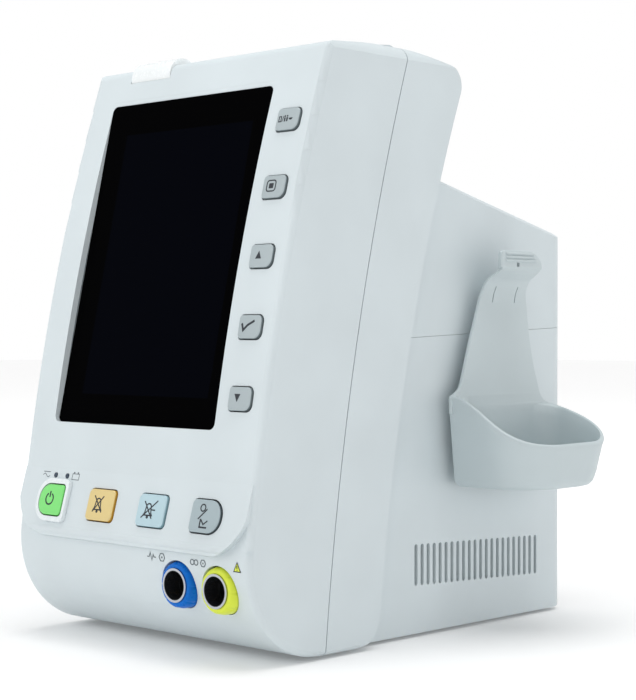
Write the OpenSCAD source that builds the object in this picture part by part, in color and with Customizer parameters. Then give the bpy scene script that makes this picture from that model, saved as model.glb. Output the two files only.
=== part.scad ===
// Portable patient monitor: leaning bowed front with a tall screen, a deep wedge-topped
// rear body and a clip-on accessory basket on its right side.
// Axes: front faces -Y, right side faces +X, +Z up. Origin: middle of the footprint, on the table.

/* [Case] */
// width of the front housing and of the band behind it
case_w = 149; // [120:1:200]
// width of the rear body
body_w = 135; // [100:1:180]
// back face of the rear body, measured from the middle of the footprint
body_back = 111; // [80:1:150]
// wall thickness of every moulded housing
wall = 3; // [2:0.5:4]
// underside of the housings above the table
base_z = 1.6; // [1:0.1:4]
// radius of the bowed front face seen from the side
bow_r = 1025; // [900:5:1200]
// radius of the chin under the connectors
chin_r = 41; // [25:1:50]
// rounding of the long front edges
edge_r = 3; // [2:0.5:10]
// highest line of the case, where front housing and band meet
ridge_z = 258.5; // [240:0.5:280]
// fall of the rear body's roof towards the back
roof_slope = 13.2; // [5:0.2:20]
// height of the joint line between lower and upper rear covers at the back
seam_z = 136.5; // [110:0.5:160]

/* [Screen] */
// width of the screen window
window_w = 104; // [80:1:120]
// height of the screen window
window_h = 147; // [120:1:160]
// lean of the window away from vertical
window_lean = 12.7; // [8:0.1:16]
// sideways position of the window's middle
window_x = -5; // [-10:0.5:5]
// visible picture width
picture_w = 81.5; // [70:0.5:95]
// visible picture height
picture_h = 119; // [100:0.5:130]

/* [Keys] */
// width of a key beside the screen
side_key_w = 13; // [8:0.5:16]
// height of a key beside the screen
side_key_h = 9.9; // [7:0.1:12]
// sideways position of the key column
side_key_x = 60.5; // [56:0.5:64]
// angular step between neighbouring keys along the bowed face
side_key_step = 1.64; // [1:0.01:2]
// width of a key on the lower strip
strip_key_w = 17.4; // [12:0.2:20]
// height of a key on the lower strip
strip_key_h = 13.8; // [10:0.2:18]
// spacing of the keys on the lower strip
strip_pitch = 32.9; // [28:0.1:36]
// how far a key stands proud of its surface
key_proud = 1.2; // [0.5:0.1:2]
// how far a key can be pressed
key_travel = 0.8; // [0.4:0.1:1.2]
// gap all round a key
key_gap = 0.4; // [0.3:0.05:0.8]

/* [Control strip] */
// height of the crease above the strip
strip_z = 74; // [60:0.5:90]
// lean of the strip away from vertical
strip_lean = 15.9; // [10:0.1:25]
// length of the strip down its slope
strip_h = 27; // [20:0.5:32]
// radius of the strip's lower corners
strip_corner = 25; // [10:1:30]

/* [Connectors] */
// height of the connector axes
conn_z = 31; // [25:0.5:40]
// sideways position of the blue connector
conn_x = 32.2; // [20:0.1:45]
// spacing of the two connectors
conn_pitch = 24.1; // [23:0.1:30]
// front face of the coloured collars
conn_face = -110.4; // [-112:0.1:-109]
// radius of a collar at its base
collar_r = 9.8; // [9:0.1:11]
// radius of the socket bore
socket_r = 5.9; // [4:0.1:6.5]
// free depth of the socket bore
socket_depth = 8; // [6:0.5:12]

/* [Vents] */
// number of slots in each side wall
vent_n = 22; // [6:1:30]
// spacing of the slots
vent_pitch = 4.16; // [3:0.02:6]
// width of a slot
vent_w = 2.1; // [1:0.1:3]
// height of a slot
vent_h = 18.4; // [10:0.2:30]

/* [Basket] */
// length of the basket mouth along the side wall
basket_l = 73.4; // [50:0.2:90]
// depth of the basket away from the wall
basket_d = 45; // [30:1:60]
// outer face of the basket's back plate
plate_x = 75; // [73:0.5:80]
// middle of the basket along the side wall
basket_y = 51.2; // [40:0.2:60]
// underside of the basket cup
basket_z = 65; // [50:1:90]
// wall of the basket
basket_wall = 2; // [1.5:0.1:3]
// outer face of the basket's thumb tab
tab_x = 87; // [78:0.5:92]

/* [Rear] */
// width of the battery door
door_w = 66; // [50:1:80]
// height of the battery door
door_h = 46; // [30:1:60]
// middle of the battery door above the table
door_z = 88; // [70:1:110]

/* [Hidden] */
bow_y = 908.4;
bow_z = -75.2;
part_y = 1049.5;
part_z = -98;
part_r = 1120;
band_y = 827.8;
band_z = -71;
band_r = 864;
// lean of the bowed face where the chin begins, found from the height of the chin's middle
chin_z = base_z + chin_r;
chin_a = 6.87;
chin_y = bow_y - (bow_r - chin_r) * cos(chin_a);
chin_mid = bow_z + (bow_r - chin_r) * sin(chin_a);
half_w = case_w / 2;
half_b = body_w / 2;
lens_x = -36;
lens_y = -55.8;
lens_z = 249.2;
lens_r = 8.4;
top_a = 18.55;
top_r = 5;
top_c = [bow_y - (bow_r - top_r) * cos(top_a), bow_z + (bow_r - top_r) * sin(top_a)];
top_tilt = 4.4;
ridge_y = -15;
win_y = -84.4;
win_z = 165.7;
roof_y = 16;
roof_z = 202.7;
roof_back = roof_z - (body_back - roof_y) * tan(roof_slope);
seam_tilt = 2.4;
side_key_a = [for (i = [0:4]) 10.26 + side_key_step * i];
strip_y = bow_y - sqrt(bow_r * bow_r - pow(strip_z - bow_z, 2));
strip_x = [for (i = [0:3]) -48.3 + strip_pitch * i];
strip_row = -14.3;

// side outline (Y across, Z up) pushed out along X between x0 and x1
module side_slab(x0, x1) {
    translate([x0, 0, 0])
        rotate([90, 0, 90])
            linear_extrude(height = x1 - x0)
                children();
}

// frame on the bowed face: local x sideways, y up the face, z straight out of it
module on_face(x, a, d = 0) {
    translate([x, bow_y - (bow_r - d) * cos(a), bow_z + (bow_r - d) * sin(a)])
        rotate([90 - a, 0, 0])
            children();
}

// frame in the middle of the screen window
module on_window() {
    translate([window_x, win_y, win_z])
        rotate([90 - window_lean, 0, 0])
            children();
}

// frame on the control strip with its origin on the crease
module on_strip(x = 0, s = 0) {
    translate([0, strip_y, strip_z])
        rotate([90 - strip_lean, 0, 0])
            translate([x, s, 0])
                children();
}

// frame at a point on the back face: local x towards -X, y up, z out of the back
module on_back(x, z) {
    translate([x, body_back, z])
        rotate([90, 0, 180])
            children();
}

// flat rounded rectangle with separate left and right corner radii, middle at the origin
module pad(w, h, rl, rr) {
    union() {
        translate([-w / 2 + rl, -h / 2])
            square([w - rl - rr, h]);
        translate([-w / 2, -h / 2 + rl])
            square([rl + 0.01, h - 2 * rl]);
        translate([w / 2 - rr - 0.01, -h / 2 + rr])
            square([rr + 0.01, h - 2 * rr]);
        for (s = [-1, 1]) {
            translate([-w / 2 + rl, s * (h / 2 - rl)])
                circle(r = rl, $fn = 32);
            translate([w / 2 - rr, s * (h / 2 - rr)])
                circle(r = rr, $fn = 32);
        }
    }
}

module slab(w, h, z0, z1, r) {
    translate([0, 0, z0])
        linear_extrude(height = z1 - z0)
            pad(w, h, r, r);
}

// everything below the two roof lines of the front case
module case_roof(i) {
    t1 = [top_c[0] - top_r * cos(top_a), top_c[1] + top_r * sin(top_a)];
    t2 = [top_c[0] - top_r * sin(top_tilt), top_c[1] + top_r * cos(top_tilt)];
    polygon([[-300, -60], [-300, t1[1] + 20], [t1[0], t1[1] - i], [t2[0], t2[1] - i],
        [ridge_y, ridge_z - i], [26, ridge_z - i - 8.6], [60, ridge_z - i - 60], [60, -60]]);
}

// side outline of the whole front case, drawn in by i
module case_2d(i) {
    intersection() {
        translate([bow_y, bow_z])
            circle(r = bow_r - i, $fn = 720);
        union() {
            case_roof(i);
            translate([top_c[0], top_c[1]])
                circle(r = top_r - min(i, top_r - 1), $fn = 48);
        }
        union() {
            polygon([[chin_y, chin_mid], [chin_y - 300 * cos(chin_a), chin_mid + 300 * sin(chin_a)],
                [-200, 400], [200, 400], [200, base_z + i], [chin_y, base_z + i]]);
            translate([chin_y, chin_mid])
                circle(r = chin_mid - base_z - i, $fn = 96);
        }
    }
}

module front_2d(i) {
    difference() {
        case_2d(i);
        translate([part_y, part_z])
            circle(r = part_r, $fn = 720);
    }
}

// what a rounded corner takes away between two directions around its middle
module round_off(c, r, a0, a1) {
    am = (a0 + a1) / 2;
    translate(c)
        difference() {
            polygon([[0, 0], [40 * cos(a0), 40 * sin(a0)], [56 * cos(am), 56 * sin(am)],
                [40 * cos(a1), 40 * sin(a1)]]);
            circle(r = r, $fn = 64);
        }
}

module band_2d(i, back) {
    difference() {
        intersection() {
            case_2d(i);
            translate([part_y, part_z])
                circle(r = part_r - 0.5, $fn = 720);
        }
        translate([band_y, band_z])
            circle(r = band_r + back, $fn = 720);
        round_off([13.4, ridge_z - 15.15], 9 - back, -21.1, 78.15);
        round_off([-45.9, base_z + 14], 14 - back, -90, -5.66);
    }
}

// what rounding takes off the long front corners, as a cross-section at the given reach
module edge_cut_2d(reach) {
    for (s = [-1, 1])
        difference() {
            translate([reach - edge_r, s > 0 ? half_w - edge_r : -half_w - 4])
                square([edge_r + 4, edge_r + 4]);
            translate([reach - edge_r, s * (half_w - edge_r)])
                circle(r = edge_r + 0.03, $fn = 48);
        }
}

// rounding of the long front edges along the bow and round the chin
module edge_cut() {
    translate([0, bow_y, bow_z])
        rotate([90, 0, 90])
            rotate([0, 0, 156])
                rotate_extrude(angle = 24 - chin_a, $fn = 480)
                    edge_cut_2d(bow_r);
    translate([0, chin_y, chin_mid])
        rotate([90, 0, 90])
            rotate([0, 0, 180 - chin_a])
                rotate_extrude(angle = 90 + chin_a, $fn = 96)
                    edge_cut_2d(chin_r);
}

// case outline seen from the front, with its rounded top corners
module case_front(i) {
    translate([0, 60, 0])
        rotate([90, 0, 0])
            linear_extrude(height = 220) {
                translate([-half_w - 1, base_z + 5])
                    square([case_w + 2, ridge_z - base_z - 17]);
                translate([-half_w + 5, base_z - 1])
                    square([case_w - 10, 20]);
                translate([-half_w + 10, base_z - 1])
                    square([case_w - 20, ridge_z + 8]);
                for (s = [-1, 1]) {
                    translate([s * (half_w - 10), ridge_z - 12])
                        circle(r = 11 - i, $fn = 48);
                    translate([s * (half_w - 5), base_z + 5])
                        circle(r = 6 - i, $fn = 48);
                }
            }
}

// rounded key outline cut through, or added to, a wall
module key_post(w, h, rl, rr, z0, z1) {
    translate([0, 0, z0])
        linear_extrude(height = z1 - z0)
            pad(w, h, rl, rr);
}

module strip_wedge() {
    intersection() {
        side_slab(-half_w + 1.5, half_w - 1.5)
            union() {
                polygon([[strip_y, strip_z], [strip_y - 7.0, strip_z - 24.6],
                    [strip_y - 5.9, strip_z - 29], [strip_y + 3, strip_z - 32],
                    [strip_y + 6, strip_z - 10]]);
                translate([strip_y - 4.82, strip_z - 25.65])
                    circle(r = 2.5, $fn = 32);
            }
        translate([0, -90, 0])
            rotate([90, 0, 0])
                linear_extrude(height = 40)
                    union() {
                        translate([-half_w, strip_z - 30 + strip_corner])
                            square([case_w, 40]);
                        translate([-half_w + strip_corner, strip_z - 30])
                            square([case_w - 2 * strip_corner, 60]);
                        for (s = [-1, 1])
                            translate([s * (half_w - strip_corner), strip_z - 30 + strip_corner])
                                circle(r = strip_corner, $fn = 64);
                    }
    }
}

module front_openings() {
    on_window() {
        slab(window_w, window_h, 0, 16, 3);
        slab(window_w, window_h, -2.2, 0, 3);
        slab(window_w - 14, window_h - 14, -12, 0, 2);
    }
    for (a = side_key_a)
        on_face(side_key_x, a)
            key_post(side_key_w + 2 * key_gap, side_key_h + 2 * key_gap, 1.8, 3.2, -8, 6);
    on_strip(strip_x[0], strip_row)
        key_post(19.4, 17.4, 7.9, 1.8, -12, 6);
    for (k = [1:3])
        on_strip(strip_x[k], strip_row)
            key_post(strip_key_w + 2 * key_gap, strip_key_h + 2 * key_gap, 2.4, k == 3 ? 7 : 2.4, -12, 6);
    for (x = [-50.8, -42.8])
        on_strip(x, -3.1)
            translate([0, 0, -12])
                cylinder(r = 1.25, h = 18, $fn = 24);
    for (x = [conn_x, conn_x + conn_pitch])
        translate([x, -120, conn_z])
            rotate([-90, 0, 0])
                cylinder(r = collar_r + 0.3, h = 40, $fn = 64);
    translate([lens_x, lens_y, lens_z])
        rotate([0, 90, 0])
            cylinder(r = lens_r + 0.3, h = 26.6, center = true, $fn = 48);
}

module front_housing() {
    color("WhiteSmoke")
        difference() {
            union() {
                difference() {
                    union() {
                        difference() {
                            intersection() {
                                case_front(0);
                                side_slab(-half_w, half_w)
                                    front_2d(0);
                            }
                            edge_cut();
                        }
                        strip_wedge();
                    }
                    intersection() {
                        side_slab(-half_w + wall, half_w - wall)
                            front_2d(wall);
                        case_front(wall);
                    }
                }
                on_window()
                    difference() {
                        slab(window_w + 6, window_h + 5, -4.6, -0.6, 4);
                        slab(window_w - 14, window_h - 14, -6, 0, 2);
                    }
            }
            front_openings();
        }
}

module band_housing() {
    color("WhiteSmoke")
        difference() {
            intersection() {
                side_slab(-half_w, half_w)
                    band_2d(0, 0);
                case_front(0);
            }
            intersection() {
                side_slab(-half_w + wall, half_w - wall)
                    band_2d(wall, wall);
                case_front(wall);
            }
            side_slab(-half_b + wall + 2, half_b - wall - 2)
                translate([-60, base_z + 17])
                    square([120, 176]);
        }
}

// side outline of the rear body, drawn in by i
module body_2d(i) {
    intersection() {
        translate([band_y, band_z])
            circle(r = band_r - 0.3, $fn = 720);
        union() {
            polygon([[-60, base_z + i], [body_back - 8, base_z + i], [body_back - i, base_z + 8],
                [body_back - i, roof_back - i - 4], [body_back - 9, roof_back - i + 9 * tan(roof_slope)],
                [roof_y, roof_z - i], [-60, roof_z - i + (60 + roof_y) * tan(roof_slope)]]);
            translate([body_back - 8, base_z + 8])
                circle(r = 8 - i, $fn = 48);
        }
    }
}

module body_plan(i) {
    translate([0, 0, -5])
        linear_extrude(height = 260)
            union() {
                translate([-half_b + i, -80])
                    square([body_w - 2 * i, 80 + body_back - 9]);
                translate([-half_b + 9, 0])
                    square([body_w - 18, body_back - i]);
                for (s = [-1, 1])
                    translate([s * (half_b - 9), body_back - 9])
                        circle(r = 9 - i, $fn = 48);
            }
}

// rear body seen along its sloping roof, with rounded roof edges
module body_roof() {
    translate([0, roof_y, roof_z])
        rotate([-90 - roof_slope, 0, 0])
            translate([0, 0, -140])
                linear_extrude(height = 300) {
                    translate([-half_b - 1, 6])
                        square([body_w + 2, 280]);
                    translate([-half_b + 5, -0.2])
                        square([body_w - 10, 20]);
                    for (s = [-1, 1])
                        translate([s * (half_b - 5), 5.8])
                            circle(r = 6, $fn = 48);
                }
}

module body_shell() {
    difference() {
        intersection() {
            side_slab(-half_b, half_b)
                body_2d(0);
            body_plan(0);
            body_roof();
        }
        intersection() {
            side_slab(-half_b + wall, half_b - wall)
                body_2d(wall);
            body_plan(wall);
        }
        side_slab(-half_b + wall, half_b - wall)
            polygon([[-70, base_z + wall], [20, base_z + wall], [20, roof_z - wall - 4], [-70, roof_z - wall]]);
    }
}

// region above (up = 1) or below (up = 0) the joint line of the rear covers
module seam_side(up) {
    side_slab(-100, 100)
        translate([body_back, seam_z + (up == 1 ? 0.07 : -0.07)])
            rotate(seam_tilt)
                translate([-240, up == 1 ? 0 : -260])
                    square([300, 260]);
}

module vent_slots() {
    for (s = [-1, 1])
        for (i = [0:vent_n - 1]) {
            y = -0.5 + vent_pitch * i;
            z = 31.8 - 3.4 * i / (vent_n - 1);
            translate([s * (half_b - 1.5), y, z])
                rotate([0, 90, 0]) {
                    translate([0, 0, -4])
                        linear_extrude(height = 8)
                            square([vent_h - vent_w, vent_w], center = true);
                    for (e = [-1, 1])
                        translate([e * (vent_h - vent_w) / 2, 0, -4])
                            cylinder(r = vent_w / 2, h = 8, $fn = 16);
                }
        }
}

screw_at = [[-56, 16], [56, 16], [-56, 150], [56, 150]];

module screw_boss() {
    for (p = screw_at)
        on_back(p[0], p[1])
            translate([0, 0, -14])
                cylinder(r = 5.5, h = 12, $fn = 32);
}

module screw_holes() {
    for (p = screw_at)
        on_back(p[0], p[1]) {
            translate([0, 0, -2.6])
                cylinder(r = 4.2, h = 6, $fn = 32);
            translate([0, 0, -12])
                cylinder(r = 1.9, h = 20, $fn = 24);
        }
}

rail_screw = [basket_y - 6.5, basket_y + 6.5];

foot_at = [[-52, -20], [52, -20], [-52, 92], [52, 92]];

module lower_cover() {
    color("WhiteSmoke")
        difference() {
            union() {
                intersection() {
                    body_shell();
                    seam_side(0);
                }
                intersection() {
                    screw_boss();
                    seam_side(0);
                }
                for (p = foot_at)
                    translate([p[0], p[1], base_z + 1])
                        cylinder(r = 9, h = 4, $fn = 48);
            }
            vent_slots();
            screw_holes();
            for (p = foot_at)
                translate([p[0], p[1], -1])
                    cylinder(r = 7.2, h = base_z + 2.6, $fn = 48);
            on_back(36, 30)
                translate([0, 0, -20])
                    linear_extrude(height = 30)
                        square([30.6, 22.6], center = true);
            on_back(4, 30)
                translate([0, 0, -20])
                    cylinder(r = 3.3, h = 30, $fn = 32);
            on_back(-26, 30)
                translate([0, 0, -20])
                    linear_extrude(height = 30)
                        square([16.6, 14.6], center = true);
            on_back(-12, door_z)
                translate([0, 0, -20])
                    linear_extrude(height = 30)
                        square([door_w + 0.8, door_h + 0.8], center = true);
            translate([-12 - door_w / 2 + 3, body_back - 1.5, door_z - door_h / 2 - 2.8])
                cylinder(r = 1.06, h = door_h + 5.6, $fn = 32);
            for (y = rail_screw)
                translate([half_b - 6, y, 111])
                    rotate([0, 90, 0])
                        cylinder(r = 1.6, h = 12, $fn = 24);
        }
}

module upper_cover() {
    color("WhiteSmoke")
        difference() {
            union() {
                intersection() {
                    body_shell();
                    seam_side(1);
                }
                intersection() {
                    screw_boss();
                    seam_side(1);
                }
            }
            screw_holes();
        }
}

module screen_window() {
    color([0.05, 0.06, 0.07])
        on_window()
            slab(window_w - 0.5, window_h - 0.5, -2, 0, 2.7);
}

module lcd_panel() {
    color([0.12, 0.14, 0.18])
        on_window()
            translate([2.2, -0.7, 0])
                union() {
                    slab(picture_w, picture_h, -3.4, -2.4, 0.6);
                    slab(picture_w + 3, picture_h + 4, -6.4, -3.4, 1);
                }
}

module lcd_frame() {
    color("Silver")
        on_window()
            translate([2.2, -0.7, 0])
                difference() {
                    union() {
                        slab(94, 142, -9.2, -8, 2);
                        for (s = [-1, 1])
                            translate([s * 46.4, 0, -8])
                                linear_extrude(height = 2.8)
                                    square([1.2, 120], center = true);
                    }
                    slab(60, 90, -12, -6.8, 4);
                    for (s = [-1, 1])
                        for (t = [-1, 1])
                            translate([s * 41, t * 66.5, -12])
                                cylinder(r = 1.7, h = 8, $fn = 24);
                }
}

module alarm_lens() {
    color([0.85, 0.92, 0.95])
        translate([lens_x, lens_y, lens_z])
            difference() {
                rotate([0, 90, 0])
                    cylinder(r = lens_r, h = 26, center = true, $fn = 96);
                rotate([0, 90, 0])
                    cylinder(r = lens_r - 2, h = 22, center = true, $fn = 96);
                translate([-20, 7, -20])
                    cube([40, 20, 40]);
                translate([-20, -20, -20])
                    cube([40, 40, 16]);
            }
}

module alarm_board() {
    color("SeaGreen")
        translate([lens_x, lens_y + 2, lens_z - 8.4]) {
            translate([-10, -3.5, 0])
                cube([20, 9, 1.6]);
            for (k = [-1:1])
                translate([k * 6 - 1.5, -1.5, 1.6])
                    cube([3, 3, 1.4]);
        }
}

// moulded key: cap through the wall, retaining flange and press post behind it
module key_body(w, h, rl, rr, wall_t, proud) {
    key_post(w, h, rl, rr, -wall_t - 1.6, proud - 0.5);
    key_post(w - 1, h - 1, rl - 0.5, rr - 0.5, proud - 0.5, proud);
    key_post(w + 2.4, h + 2.4, rl, rr, -wall_t - 2.6, -wall_t - 1.6);
    translate([0, 0, -wall_t - 3.8])
        cylinder(r = 1.6, h = 1.4, $fn = 24);
}

module side_key(i) {
    color("LightGray")
        on_face(side_key_x, side_key_a[i])
            key_body(side_key_w, side_key_h, 1.6, 3, wall, key_proud);
}

module key_down() { side_key(0); }

module key_select() { side_key(1); }

module key_up() { side_key(2); }

module key_menu() { side_key(3); }

module key_standby() { side_key(4); }

module side_key_board() {
    a = side_key_a[2];
    color("SeaGreen")
        on_face(side_key_x - 0.5, a, 11.7) {
            translate([0, 0, -1.6])
                linear_extrude(height = 1.6)
                    square([12, 134], center = true);
            for (k = [-2:2])
                translate([0.5, k * tan(side_key_step) * (bow_r - 11), 0])
                    linear_extrude(height = 1.6)
                        square([6, 6], center = true);
        }
}

module power_surround() {
    color("White")
        on_strip(strip_x[0], strip_row)
            difference() {
                union() {
                    key_post(20.4, 19, 8.4, 2.6, 0.05, 1.8);
                    key_post(19, 17, 7.7, 1.6, -6, 0.05);
                }
                key_post(16.2 + 2 * key_gap, 13.8 + 2 * key_gap, 6.6, 2, -8, 4);
            }
}

module power_key() {
    color("LimeGreen")
        on_strip(strip_x[0], strip_row)
            key_body(16.2, 13.8, 6.2, 1.6, 6, 2.2);
}

module alarm_pause_key() {
    color("BurlyWood")
        on_strip(strip_x[1], strip_row)
            key_body(strip_key_w, strip_key_h, 2, 2, 6, key_proud);
}

module audio_off_key() {
    color("LightBlue")
        on_strip(strip_x[2], strip_row)
            key_body(strip_key_w, strip_key_h, 2, 2, 6, key_proud);
}

module record_key() {
    color("LightGray")
        on_strip(strip_x[3], strip_row)
            key_body(strip_key_w, strip_key_h, 2, 6.6, 6, key_proud);
}

module strip_key_board() {
    color("SeaGreen")
        on_strip(0, strip_row) {
            translate([0, 0, -14.2])
                linear_extrude(height = 1.6)
                    square([128, 19], center = true);
            for (x = strip_x)
                translate([x, 0, -12.6])
                    linear_extrude(height = 1.6)
                        square([6, 6], center = true);
        }
}

module indicator(x) {
    color("DarkSlateGray")
        on_strip(x, -3.1)
            translate([0, 0, -11])
                union() {
                    cylinder(r = 1.05, h = 11.3, $fn = 24);
                    cylinder(r = 2, h = 1.6, $fn = 24);
                }
}

module mains_indicator() { indicator(-50.8); }

module battery_indicator() { indicator(-42.8); }

module collar(x) {
    translate([x, conn_face, conn_z])
        rotate([-90, 0, 0])
            difference() {
                union() {
                    cylinder(r1 = 7.9, r2 = collar_r, h = 3.6, $fn = 96);
                    translate([0, 0, 3.6])
                        cylinder(r = collar_r, h = 12.6, $fn = 96);
                    translate([0, 0, 13.4])
                        linear_extrude(height = 2.8)
                            intersection() {
                                circle(r = collar_r + 2, $fn = 96);
                                square([2 * collar_r - 0.4, 60], center = true);
                            }
                }
                translate([0, 0, -1])
                    cylinder(r = 7.1, h = 22, $fn = 96);
            }
}

module blue_collar() {
    color("RoyalBlue")
        collar(conn_x);
}

module yellow_collar() {
    color("Yellow")
        collar(conn_x + conn_pitch);
}

// plated barrel of a sensor socket: the plug's bore in front, a narrower one behind it
module socket(x) {
    color("Silver")
        translate([x, conn_face - 0.6, conn_z])
            rotate([-90, 0, 0])
                difference() {
                    union() {
                        cylinder(r = 7.0, h = 17, $fn = 96);
                        translate([0, 0, 17])
                            cylinder(r = 8.6, h = 1.6, $fn = 96);
                    }
                    translate([0, 0, -1])
                        cylinder(r = socket_r, h = socket_depth + 1, $fn = 96);
                    cylinder(r = socket_r - 0.4, h = 24, $fn = 96);
                }
}

module blue_socket() { socket(conn_x); }

module yellow_socket() { socket(conn_x + conn_pitch); }

module insert_block(x, n) {
    color("DimGray")
        translate([x, conn_face - 0.6 + socket_depth, conn_z])
            rotate([-90, 0, 0])
                union() {
                    translate([0, 0, 2])
                        cylinder(r = socket_r - 0.45, h = 6, $fn = 64);
                    for (k = [0:n - 1])
                        rotate([0, 0, k * 360 / n])
                            translate([3.2, 0, 0.4])
                                cylinder(r = 0.5, h = 10, $fn = 16);
                }
}

module blue_insert() { insert_block(conn_x, 6); }

module yellow_insert() { insert_block(conn_x + conn_pitch, 8); }

module sensor_board() {
    color("SeaGreen") {
        translate([14, -91.6, 14])
            cube([52, 1.6, 36]);
        translate([22, -90, 18])
            cube([12, 2, 12]);
        translate([42, -90, 30])
            cube([16, 4, 9]);
    }
}

module gas_module() {
    color("DarkGray")
        translate([8, -80, 8])
            difference() {
                union() {
                    cube([56, 42, 26]);
                    for (x = [14, 42])
                        translate([x, 0, 18])
                            rotate([90, 0, 0])
                                cylinder(r = 2.2, h = 5, $fn = 24);
                }
                for (x = [14, 42])
                    translate([x, 1, 18])
                        rotate([90, 0, 0])
                            cylinder(r = 1.2, h = 8, $fn = 24);
                translate([6, 6, 24])
                    cube([44, 30, 4]);
            }
}

module chassis_plate() {
    color("Silver")
        on_window()
            translate([5, 0, -34])
                difference() {
                    union() {
                        translate([0, -12, 0])
                            slab(124, 200, 0, 1.5, 4);
                        translate([-62, -112, -16])
                            cube([124, 1.5, 17]);
                    }
                    for (s = [-1, 1])
                        for (t = [-1, 1])
                            translate([s * 52, t * 78 - 8, -1])
                                cylinder(r = 2.2, h = 4, $fn = 24);
                    slab(40, 60, -1, 3, 6);
                }
}

module main_board() {
    color("SeaGreen")
        on_window()
            translate([5, -6, -27]) {
                translate([-50, -84, 0])
                    cube([100, 168, 1.6]);
                translate([-18, 10, 1.6])
                    cube([30, 30, 2.4]);
                translate([20, -30, 1.6])
                    cube([18, 10, 1.4]);
                translate([-40, -60, 1.6])
                    cube([22, 14, 5]);
                translate([-46, 60, 1.6])
                    cube([60, 6, 6]);
                translate([24, -74, 1.6])
                    cylinder(r = 4, h = 8, $fn = 24);
                translate([36, -74, 1.6])
                    cylinder(r = 4, h = 8, $fn = 24);
            }
}

module power_supply() {
    color("DarkOliveGreen")
        translate([-14, 0, 12]) {
            cube([70, 76, 1.6]);
            translate([22, 26, 1.6])
                cube([26, 28, 22]);
            translate([6, 10, 1.6])
                cylinder(r = 5.5, h = 20, $fn = 32);
            translate([6, 24, 1.6])
                cylinder(r = 5.5, h = 20, $fn = 32);
            translate([54, 8, 1.6])
                cube([10, 60, 26]);
        }
}

module battery_pack() {
    color([0.2, 0.24, 0.3])
        translate([-12, body_back - 5.6, door_z])
            rotate([90, 0, 0])
                union() {
                    slab(56, 36, 0, 70, 3);
                    translate([0, 0, -1.2])
                        linear_extrude(height = 1.2)
                            square([26, 8], center = true);
                }
}

module battery_tray() {
    color("Gray")
        translate([-12, body_back - 4, door_z])
            rotate([90, 0, 0])
                difference() {
                    slab(61, 41, 0, 76, 4);
                    slab(57.4, 37.4, -1, 73.6, 3.6);
                }
}

module battery_door() {
    color("WhiteSmoke")
        translate([-12, body_back, door_z])
            union() {
                translate([-door_w / 2 + 3, -2.4, -door_h / 2])
                    cube([door_w - 3, 2.2, door_h]);
                translate([-door_w / 2 + 3, -1.5, -door_h / 2])
                    cylinder(r = 1.3, h = door_h, $fn = 32);
                translate([-door_w / 2 + 3, -1.5, -door_h / 2 - 2.2])
                    cylinder(r = 1, h = door_h + 4.4, $fn = 32);
                for (z = [-6, -2, 2, 6])
                    translate([door_w / 2 - 12, -0.3, z])
                        rotate([0, 90, 0])
                            cylinder(r = 0.7, h = 8, $fn = 16);
            }
}

module speaker() {
    color("DimGray")
        translate([-half_b + wall + 1, 46, 34])
            rotate([0, 90, 0])
                difference() {
                    union() {
                        cylinder(r = 19, h = 3, $fn = 64);
                        translate([0, 0, 3])
                            cylinder(r1 = 18, r2 = 9, h = 8, $fn = 64);
                        translate([0, 0, 11])
                            cylinder(r = 11, h = 7, $fn = 48);
                    }
                    translate([0, 0, -0.01])
                        cylinder(r1 = 16.5, r2 = 6, h = 6, $fn = 64);
                }
}

module mains_inlet() {
    color("DarkSlateGray")
        on_back(36, 30)
            union() {
                difference() {
                    union() {
                        slab(30, 22, -19, 0.6, 1.5);
                        slab(36, 27, 0.3, 2.2, 2);
                    }
                    slab(25, 17, -15, 6, 2);
                }
                for (p = [[-7, -1.5], [0, 3], [7, -1.5]])
                    translate([p[0], p[1], -15.5])
                        linear_extrude(height = 9.5)
                            square([2, 5], center = true);
            }
}

module ground_post() {
    color("Silver")
        on_back(4, 30)
            union() {
                translate([0, 0, -9])
                    cylinder(r = 3, h = 16, $fn = 32);
                translate([0, 0, 0.3])
                    cylinder(r = 6, h = 2.5, $fn = 6);
            }
}

module data_port() {
    color("DarkSlateGray")
        on_back(-26, 30)
            difference() {
                slab(16, 14, -17, 0.4, 0.6);
                translate([0, 0, -10])
                    linear_extrude(height = 12)
                        square([12, 8], center = true);
                translate([0, 5, -10])
                    linear_extrude(height = 12)
                        square([6, 2.4], center = true);
            }
}

module rear_screws() {
    color("Silver")
        for (p = screw_at)
            on_back(p[0], p[1])
                difference() {
                    union() {
                        translate([0, 0, -2.6])
                            cylinder(r = 3.4, h = 2, $fn = 32);
                        translate([0, 0, -11])
                            cylinder(r = 1.5, h = 9, $fn = 24);
                    }
                    for (t = [0, 90])
                        rotate([0, 0, t])
                            translate([-2, -0.4, -1.6])
                                cube([4, 0.8, 3]);
                }
}

module feet() {
    color([0.25, 0.26, 0.27])
        for (p = foot_at)
            translate([p[0], p[1], 0])
                union() {
                    cylinder(r1 = 6.4, r2 = 7, h = 1, $fn = 48);
                    translate([0, 0, 1])
                        cylinder(r = 7, h = base_z + 0.6, $fn = 48);
                }
}

// plan outline of the basket cup (X away from the wall, Y along it), drawn in by i
module cup_2d(i) {
    r = 24;
    difference() {
        union() {
            translate([-1, -basket_l / 2 + i])
                square([basket_d - r + 1, basket_l - 2 * i]);
            translate([-1, -basket_l / 2 + r])
                square([basket_d - i + 1, basket_l - 2 * r]);
            for (s = [-1, 1])
                translate([basket_d - r, s * (basket_l / 2 - r)])
                    circle(r = r - i, $fn = 64);
        }
        translate([-10, -60])
            square([10, 120]);
    }
}

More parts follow.
